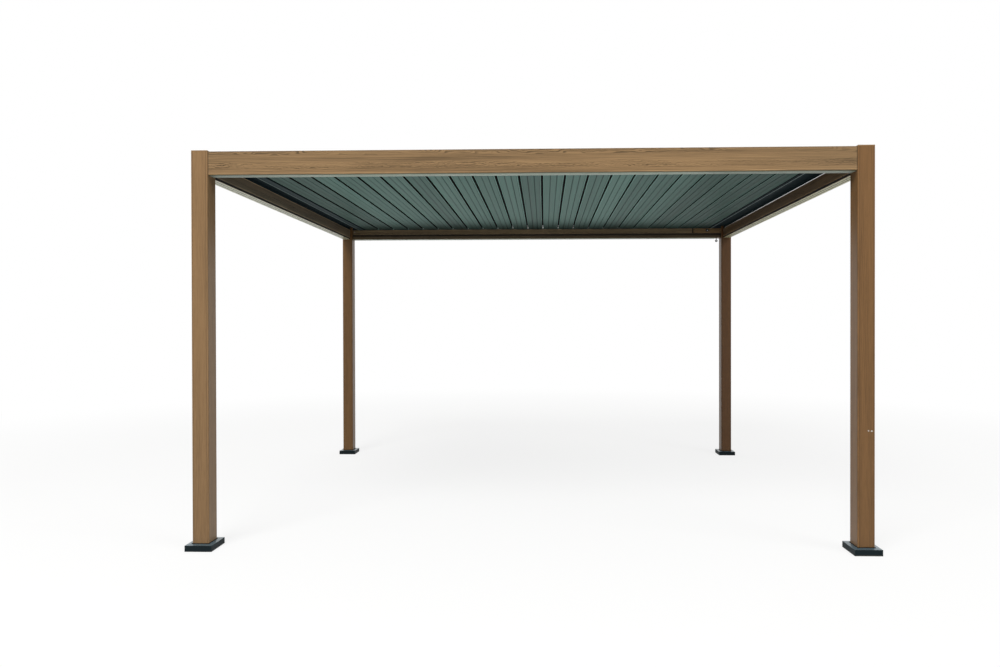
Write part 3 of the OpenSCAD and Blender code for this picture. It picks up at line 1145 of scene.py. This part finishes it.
        # The bright trim stands in for light leaking along this edge: painted highlight.
        low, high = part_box(Side.RIGHT.beam)
        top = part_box("right_edge_strip")[0].z - self.trim_gap
        tall, face = self.trim_h, low.x
        outline = [
            (top, face), (top, face - tall * 0.55), (top - tall * 0.3, face - tall * 0.8),
            (top - tall * 0.75, face - tall * 0.6), (top - tall, face),
        ]
        end = high.y - self.trim_end
        piece = PartMesh()
        piece.bar(outline, low.y, end, Along.Y)
        foot = top - self.clip_h
        clip = [(top, face), (top, face - tall), (foot, face - tall * 0.6), (foot, face)]
        piece.bar(clip, end, end + self.clip_len, Along.Y)
        piece.make("right_beam_trim", self.kit.bright, FIXED_BODY, "zinc_steel")

    def _add_access_fittings(self) -> None:
        """Adds the access cover's screws, its dark joint and the black boss with a bright screw."""
        low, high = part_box("access_cover")
        toward = Along.Y.way(-1.0)
        piece = PartMesh()
        for x in (low.x + self.access_inset, high.x - self.access_inset):
            for z in (low.z + self.access_inset, high.z - self.access_inset):
                piece.screw(Vector((x, low.y, z)), toward, self.access_screw_r)
        piece.make("access_screws", self.kit.steel, FIXED_BODY, "black_steel")
        joint = PartMesh()
        joint.block((low.x - self.joint_w, low.x), (low.y, high.y), (low.z, high.z))
        joint.make("access_joint", self.kit.rubber, FIXED_BODY, "black_casting")
        boss = PartMesh()
        size = self.boss_r
        dome = [(0.0, 0.8), (0.4, 0.72), (0.7, 0.5), (0.8, 0.28), (1.0, 0.24), (1.0, 0.0), (0.0, 0.0)]
        centre = Vector((self.boss_x, low.y, self.boss_z))
        boss.lathe([(size * radius, size * height) for radius, height in dome], centre, toward)
        boss.make("access_boss", self.kit.nylon, FIXED_BODY, "black_casting")
        cap = PartMesh()
        cap.screw(centre + toward * size * 0.7, toward, size * 0.4)
        cap.make("boss_screw", self.kit.bright, FIXED_BODY, "zinc_steel")


@dataclass
class Feet:
    """Base covers and foot plates."""

    nodes: Mapping[str, bpy.types.Object]
    kit: Kit
    edge: float = 1 * MM
    seal_w: float = 3 * MM
    seal_h: float = 2.5 * MM

    def build(self) -> None:
        """Dresses the feet, softens the covers' edges and adds the seals round the posts."""
        coat = PowderCoat(
            "base_cover_coat", paint(25, 36, 40), dust_top=9 * MM, roughness=0.5, gloss=0.1, level_coat=1.0
        ).material()
        cover = self.nodes["base_covers"]
        dress(cover, coat)
        soft = cover.modifiers.new("soft_edges", "BEVEL")
        soft.width = self.edge
        soft.segments = 2
        soft.limit_method = "ANGLE"
        dress(self.nodes["foot_plates"], self.kit.zinc)
        self._add_seals()

    def _add_seals(self) -> None:
        """Adds a black seal round each post where it enters its cover."""
        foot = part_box("base_covers")[1].z - self.edge
        top = foot + self.edge + self.seal_h
        wide = self.seal_w
        piece = PartMesh()
        for side in POSTS:
            low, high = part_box("post_" + side)
            for face, out in ((low.y, -wide), (high.y, wide)):
                outline = [(face, foot), (face + out, foot), (face + out, foot + self.edge), (face, top)]
                piece.bar(outline, low.x - wide, high.x + wide, Along.X)
            for face, out in ((low.x, -wide), (high.x, wide)):
                outline = [(foot, face), (foot, face + out), (foot + self.edge, face + out), (top, face)]
                piece.bar(outline, low.y, high.y, Along.Y)
        piece.make("post_foot_seals", self.kit.rubber, FIXED_BODY, "black_casting")


@dataclass
class LouvreRoof:
    """Blades with their seals, the rails with their bushes, and the fixed edge strips."""

    nodes: Mapping[str, bpy.types.Object]
    pivots: Mapping[str, Vector]
    kit: Kit
    wall: float = 1.6 * MM
    drip: float = 6 * MM
    lip_notch: float = 55 * MM
    end_gap: float = 8 * MM
    seal_gap: float = 1 * MM
    seal_in: float = 3 * MM
    leg_t: float = 1.6 * MM
    lip_t: float = 0.8 * MM
    lip_w: float = 4 * MM
    corner: float = 1.2 * MM
    ease_h: float = 3.2 * MM
    trim_t: float = 1.2 * MM
    trough_h: float = 18 * MM
    strip_seat: float = 2 * MM
    strip_sheet: float = 2 * MM
    left_seal_out: float = 11 * MM
    bulb_steps: int = 8
    seam: float = 12 * MM
    bead_w: float = 6 * MM
    bead_t: float = 1.5 * MM
    left_bead: float = 49 * MM
    right_bead: float = 14 * MM
    buffer_w: float = 9 * MM
    buffer_t: float = 5 * MM
    buffer_foot: float = 6 * MM
    buffer_h: float = 14 * MM
    bush_r: float = 10.5 * MM
    bush_t: float = 2.5 * MM
    pin_r: float = 6 * MM
    pin_play: float = 0.3 * MM

    def build(self) -> None:
        """Dresses the roof and adds seals, beads, bushes and buffers."""
        for number, name in enumerate(sorted(self.pivots), start=1):
            centre = self.pivots[name].x
            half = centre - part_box(name)[0].x
            finish = BladePaint(f"blade_paint_{number:02d}", number, centre, half)
            dress(self.nodes[name], finish.material())
            self._add_seal(name, number)
        for node in ("left_edge_strip", "right_edge_strip"):
            # The edge strips take the darker slate copy: painted shade.
            dress(self.nodes[node], self.kit.shaded_slate)
        for node in RAILS:
            dress(self.nodes[node], self.kit.slate)
        self._add_left_seal()
        self._add_beads()
        self._add_bushes()
        self._add_buffers()

    def _seal_outline(self, low: float, high: float, top: float) -> list[Pair]:
        """Section of a seal: flat foot above, round bulb below.

        Args:
            low: First edge across the seam.
            high: Last edge across the seam.
            top: Height of the lip's underside.

        Returns:
            Points up and across.
        """
        deep = self.drip - self.wall - self.seal_gap
        middle = (low + high) / 2
        reach = (high - low) / 2
        arc = [math.pi * k / self.bulb_steps for k in range(self.bulb_steps + 1)]
        bulb = [(top - deep * (0.35 + 0.65 * math.sin(a)), middle - reach * math.cos(a)) for a in arc]
        return [(top, low), *bulb, (top, high)]

    def _add_seal(self, name: str, number: int) -> None:
        """Adds the black seal under one blade's cover lip, and black sheets down its wall and along its
        trough's edge that stand in for the shade in the seam (painted shade).

        Args:
            name: The blade's node and body.
            number: Its number from the left.
        """
        low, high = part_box(name)
        pivot = self.pivots[name]
        half = pivot.x - low.x
        top = high.z - self.wall
        wall = pivot.x + half
        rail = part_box(RAILS[0])[1].y
        end = -rail - self.lip_notch
        full = -rail - self.end_gap
        piece = PartMesh()
        under = self._underside()
        lip, edge = under - self.lip_t, wall + self.leg_t
        bulb = self._seal_outline(edge, high.x - self.wall - self.seal_in, top)
        piece.bar(bulb, -end, end, Along.Y)
        # Leg, heel and trough trim: black sheets that stand in for the shade in the seam (painted shade); the
        # bulb is the real seal.
        leg = [(lip, wall - self.lip_w), (lip, edge), (top, edge), (top, wall)]
        heel = [(under + self.corner, wall), (under, wall - self.corner), (under, wall - self.lip_w)]
        piece.bar(leg + heel, -end, end, Along.Y)
        trim = (under + self.ease_h, under + self.trough_h)
        piece.block((low.x - self.trim_t, low.x), (-full, full), trim)
        piece.make(f"seal_{number:02d}", self.kit.rubber, name, "blade_finish")

    def _underside(self) -> float:
        """Height of the closed blades' undersides."""
        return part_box("right_edge_strip")[0].z + self.strip_seat

    def _add_left_seal(self) -> None:
        """Adds the seal under the left edge strip's lip."""
        low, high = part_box("left_edge_strip")
        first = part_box("blade_01")[0].x - self.left_seal_out
        last = high.x - self.strip_sheet - self.seal_in
        outline = self._seal_outline(first, last, high.z - self.strip_sheet)
        piece = PartMesh()
        piece.bar(outline, low.y, high.y, Along.Y)
        piece.make("left_edge_seal", self.kit.rubber, FIXED_BODY, "slate_finish")

    def _add_beads(self) -> None:
        """Adds a pale bead along each edge strip and a lighter facing beside the left one."""
        piece = PartMesh()
        low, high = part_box("left_edge_strip")
        y = (low.y, high.y)
        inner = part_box("blade_01")[0].x - self.seam
        left = inner - self.left_bead
        right = -inner + self.right_bead
        for first in (left - self.bead_w, right):
            piece.block((first, first + self.bead_w), y, (low.z - self.bead_t, low.z))
        bead = PowderCoat("bead_coat", paint(142, 158, 158), gloss=0.05).material()
        piece.make("edge_beads", bead, FIXED_BODY, "slate_finish")
        facing = PartMesh()
        facing.block((left, inner), y, (low.z - self.bead_t / 2, low.z))
        coat = PowderCoat("facing_coat", paint(48, 66, 69), gloss=0.05).material()
        facing.make("left_edge_facing", coat, FIXED_BODY, "slate_finish")

    def _add_bushes(self) -> None:
        """Adds a flanged bush on both sides of each rail at every pin."""
        piece = PartMesh()
        flange = ring(self.pin_r + self.pin_play, self.bush_r, self.bush_t)
        for node in RAILS:
            low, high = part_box(node)
            for pivot in self.pivots.values():
                for face, sign in ((low.y, -1.0), (high.y, 1.0)):
                    piece.lathe(flange, Vector((pivot.x, face, pivot.z)), Along.Y.way(sign))
        piece.make("pivot_bushes", self.kit.nylon, FIXED_BODY, "black_casting")

    def _add_buffers(self) -> None:
        """Adds a pale buffer on both rails at the end of every seam, whose whiteness stands in for light
        showing through the seam ends (painted light).
        """
        piece = PartMesh()
        middles = sorted(pivot.x for pivot in self.pivots.values())
        foot = self._underside() + self.buffer_foot
        front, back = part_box(RAILS[0])[1].y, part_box(RAILS[1])[0].y
        for first, second in zip(middles, middles[1:]):
            seam = (first + second) / 2
            x = (seam - self.buffer_w / 2, seam + self.buffer_w / 2)
            for y in ((front, front + self.buffer_t), (back, back - self.buffer_t)):
                piece.block(x, y, (foot, foot + self.buffer_h))
        # Pale buffers that stand in for light through the seam ends: painted light.
        piece.make("seam_buffers", self.kit.pale_nylon, FIXED_BODY, "black_casting")


@dataclass
class CrankDrive:
    """Link bar, drive arm, gearbox and crank eye, with clips and screws."""

    nodes: Mapping[str, bpy.types.Object]
    pivots: Mapping[str, Vector]
    kit: Kit
    pin_r: float = 4 * MM
    clip_r: float = 6.5 * MM
    clip_t: float = 1.2 * MM
    clip_gap: float = 2 * MM
    clip_sides: int = 12
    washer_r: float = 8 * MM
    washer_gap: float = 0.4 * MM
    face_screws: int = 4
    face_screw_r: float = 3.2 * MM
    face_reach: float = 0.74
    foot_screw_r: float = 3 * MM
    foot_screw_x: float = 15.5 * MM
    foot_t: float = 4 * MM

    def build(self) -> None:
        """Dresses the drive and adds its small fittings."""
        dress(self.nodes["link_bar"], self.kit.zinc)
        dress(self.nodes["drive_arm"], self.kit.zinc)
        dress(self.nodes["gearbox"], self.kit.casting)
        dress(self.nodes["crank_eye"], self.kit.steel)
        self._add_clips()
        self._add_gear_screws()

    def _add_clips(self) -> None:
        """Adds a washer and a clip behind the link bar on every lever pin."""
        swing = self.pivots["link_bar"] - self.pivots["blade_12"]
        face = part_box("link_bar")[1].y
        back = Along.Y.way()
        washer = ring(self.pin_r, self.washer_r, self.clip_t)
        clip = ring(self.pin_r, self.clip_r, self.clip_t)
        for name, pivot in sorted(self.pivots.items()):
            if not name.startswith("blade_") and name != "drive_arm":
                continue
            spot = Vector((pivot.x + swing.x, face, pivot.z + swing.z))
            piece = PartMesh()
            piece.lathe(washer, spot + back * self.washer_gap, back)
            piece.lathe(clip, spot + back * self.clip_gap, back, self.clip_sides)
            piece.make("pin_clip_" + name.replace("blade_", ""), self.kit.screw, name, "zinc_steel")

    def _add_gear_screws(self) -> None:
        """Adds the screws in the gearbox's face and in its foot."""
        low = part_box("gearbox")[0]
        arm, crank = self.pivots["drive_arm"], self.pivots["crank_eye"]
        reach = (arm.x - low.x) * self.face_reach
        piece = PartMesh()
        for k in range(self.face_screws):
            angle = math.tau * (k + 0.5) / self.face_screws
            spot = Vector((arm.x + reach * math.cos(angle), low.y, arm.z + reach * math.sin(angle)))
            piece.screw(spot, Along.Y.way(-1.0), self.face_screw_r)
        for out in (-self.foot_screw_x, self.foot_screw_x):
            spot = Vector((crank.x + out, crank.y, low.z + self.foot_t))
            piece.screw(spot, Along.Z.way(), self.foot_screw_r)
        piece.make("gearbox_screws", self.kit.screw, FIXED_BODY, "zinc_steel")


@dataclass(frozen=True)
class PhotoView:
    """Camera of the photograph: place and angles in the shared frame, lens in image pixels."""

    place: Triple = (0.08947, -5.30502, 1.32964)
    yaw: float = 0.02405
    pitch: float = -0.00506
    roll: float = -0.00189
    focal_px: float = 651.08
    centre_px: Pair = (528.69, 328.56)
    image_px: Pair = (1000.0, 667.0)
    sensor: float = 36.0
    reach: float = 200.0

    def build(self) -> None:
        """Makes the camera and sets it as the scene's."""
        lens = bpy.data.cameras.new("photo_view")
        width, height = self.image_px
        lens.sensor_width = self.sensor
        lens.lens = self.focal_px * self.sensor / width
        lens.shift_x = (width / 2 - self.centre_px[0]) / width
        lens.shift_y = (self.centre_px[1] - height / 2) / width
        lens.clip_end = self.reach
        camera = bpy.data.objects.new("photo_view", lens)
        bpy.context.scene.collection.objects.link(camera)
        right, ahead, up = self._axes()
        turn = Matrix((right, up, -ahead)).transposed()
        camera.matrix_world = Matrix.Translation(Vector(self.place)) @ turn.to_4x4()
        bpy.context.scene.camera = camera
        LOG.info("placed %s", camera.name)

    def _axes(self) -> tuple[Vector, Vector, Vector]:
        """Turns the axes by yaw, pitch and roll.

        Returns:
            The camera's right, forward and up directions.
        """
        cos, sin = math.cos(self.yaw), math.sin(self.yaw)
        right, ahead, up = Vector((cos, sin, 0.0)), Vector((-sin, cos, 0.0)), Along.Z.way()
        cos, sin = math.cos(self.pitch), math.sin(self.pitch)
        ahead, up = ahead * cos + up * sin, up * cos - ahead * sin
        cos, sin = math.cos(self.roll), math.sin(self.roll)
        right, up = right * cos + up * sin, up * cos - right * sin
        return right, ahead, up


@dataclass(frozen=True)
class SoftLamp:
    """Large area lamp aimed at a point."""

    name: str
    place: Triple
    target: Triple
    size: Pair
    level: float
    spread: float = 180.0

    def build(self) -> None:
        """Makes the lamp; at full spread its level is what a white surface facing it at the target shows."""
        lamp = bpy.data.lights.new(self.name, "AREA")
        lamp.shape = "RECTANGLE"
        lamp.size, lamp.size_y = self.size
        way = Vector(self.target) - Vector(self.place)
        lamp.energy = self.level * math.pi ** 2 * way.length_squared
        lamp.spread = math.radians(self.spread)
        holder = bpy.data.objects.new(self.name, lamp)
        holder.location = self.place
        holder.rotation_euler = way.to_track_quat("-Z", "Y").to_euler()
        holder.visible_camera = False
        holder.visible_glossy = False
        bpy.context.scene.collection.objects.link(holder)
        LOG.info("lit %s", self.name)


@dataclass
class Studio:
    """Pale floor, white surroundings, soft lamps and the view of the photograph."""

    view: PhotoView = PhotoView()
    sky_low: float = 0.18
    sky_high: float = 0.62
    floor_half: float = 60.0
    floor_shown: Colour = paint(246, 246, 244)
    floor_colour: Colour = paint(160, 160, 157)
    near_white: float = 0.8
    fade: Pair = (4.0, 9.0)
    lamps: tuple[SoftLamp, ...] = (
        SoftLamp("front_key", (-3.6, -8.5, 10.5), (0.0, -0.5, 1.2), (6.0, 5.0), 0.7),
        SoftLamp("front_fill", (7.5, -5.5, 8.0), (-1.0, -1.3, 1.0), (4.0, 4.0), 0.2),
        SoftLamp("roof_fill", (-0.25, -0.3, 0.06), (-0.25, -0.3, 2.3), (2.6, 2.4), 0.13, 20.0),
    )

    def build(self) -> None:
        """Sets up light, floor and camera."""
        bpy.context.scene.view_settings.view_transform = "Standard"
        self._build_world()
        self._build_floor()
        for lamp in self.lamps:
            lamp.build()
        self.view.build()

    @staticmethod
    def _seen(graph: Graph) -> Wire:
        """Tells the rays that show the surroundings from those that only light the object.

        Args:
            graph: Graph of the world or the floor.

        Returns:
            1 for rays that look directly, by reflection or through glass, and 0 for others.
        """
        kinds = ("Is Camera Ray", "Is Glossy Ray", "Is Transmission Ray")
        camera, glossy, through = (graph.read("LightPath", {}, {}, kind) for kind in kinds)
        return camera.most(glossy).most(through)

    def _build_world(self) -> None:
        """Makes the white surroundings, which light the object at a plain level."""
        world = bpy.data.worlds.new("surroundings")
        bpy.context.scene.world = world
        graph = Graph(world)
        way = graph.read("TexCoord", {}, {}, "Generated")
        high = graph.read("SeparateXYZ", {}, {0: way}, 2).rise(0.0, 1.0)
        low_sky, high_sky, shown = (
            graph.read("Background", {}, {"Color": WHITE, "Strength": level})
            for level in (self.sky_low, self.sky_high, 1.0)
        )
        light = graph.read("MixShader", {}, {0: high, 1: low_sky, 2: high_sky})
        mixed = graph.read("MixShader", {}, {0: self._seen(graph), 1: light, 2: shown})
        graph.node("OutputWorld", {}, {"Surface": mixed})

    def _build_floor(self) -> None:
        """Makes the pale floor, which keeps the shadow and turns white further away."""
        graph = Graph.of_material("pale_floor")
        x, y, _ = graph.places()
        far = (x * x + y * y).root().rise(*self.fade)
        seen = self._seen(graph)
        share = seen * (self.near_white + far * (1 - self.near_white))
        colour = graph.mix(seen, self.floor_colour, self.floor_shown)
        plain = graph.read("BsdfDiffuse", {}, {"Color": colour})
        white = graph.read("Emission", {}, {"Color": WHITE, "Strength": 1.0})
        mixed = graph.read("MixShader", {}, {0: share, 1: plain, 2: white})
        graph.node("OutputMaterial", {}, {"Surface": mixed})
        half = self.floor_half
        mesh = bpy.data.meshes.new("floor")
        corners = [(-half, -half, 0.0), (half, -half, 0.0), (half, half, 0.0), (-half, half, 0.0)]
        mesh.from_pydata(corners, [], [[0, 1, 2, 3]])
        mesh.materials.append(graph.owner)
        floor = bpy.data.objects.new("floor", mesh)
        bpy.context.scene.collection.objects.link(floor)


def main() -> None:
    """Loads the frame, dresses it, adds the fittings and sets up the view."""
    logging.basicConfig(level=logging.INFO, format="%(name)s: %(message)s")
    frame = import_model()
    nodes = frame["nodes"]
    pivots = {joint["child"]: Vector(joint["pos_m"]) for joint in frame["joints"]}
    blades = {name: pivot for name, pivot in pivots.items() if name.startswith("blade_")}
    Studio().build()
    kit = Kit()
    WoodFrame(nodes, kit).build()
    Feet(nodes, kit).build()
    LouvreRoof(nodes, blades, kit).build()
    CrankDrive(nodes, pivots, kit).build()


if __name__ == "__main__":
    main()
